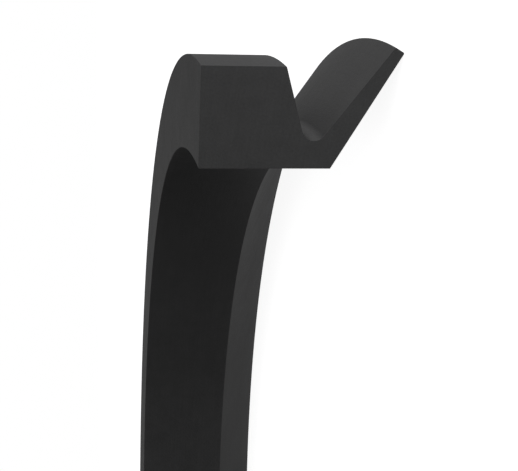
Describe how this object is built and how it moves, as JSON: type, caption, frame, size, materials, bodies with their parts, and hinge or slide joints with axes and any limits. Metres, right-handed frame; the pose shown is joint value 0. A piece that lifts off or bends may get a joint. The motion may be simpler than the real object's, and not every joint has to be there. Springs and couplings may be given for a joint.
{
  "type": "v-ring",
  "caption": "One-piece moulded rubber V-ring shaft seal: a square body, a conical sealing lip and the groove between them, with a sector cut out so that the section shows.",
  "frame": {"origin": "on the ring's axis, in the plane of the lip's tip, on which the ring lies", "axes": "+Z along the ring's axis, out of the back face; +X through the cut face that the picture shows, which faces -Y"},
  "size_m": [0.0888, 0.0888, 0.0105],
  "materials": {
    "rubber": "matte moulded rubber, with sawn-smooth cut faces"
  },
  "bodies": {
    "root": {"v_ring": "rubber"}
  },
  "joints": []
}
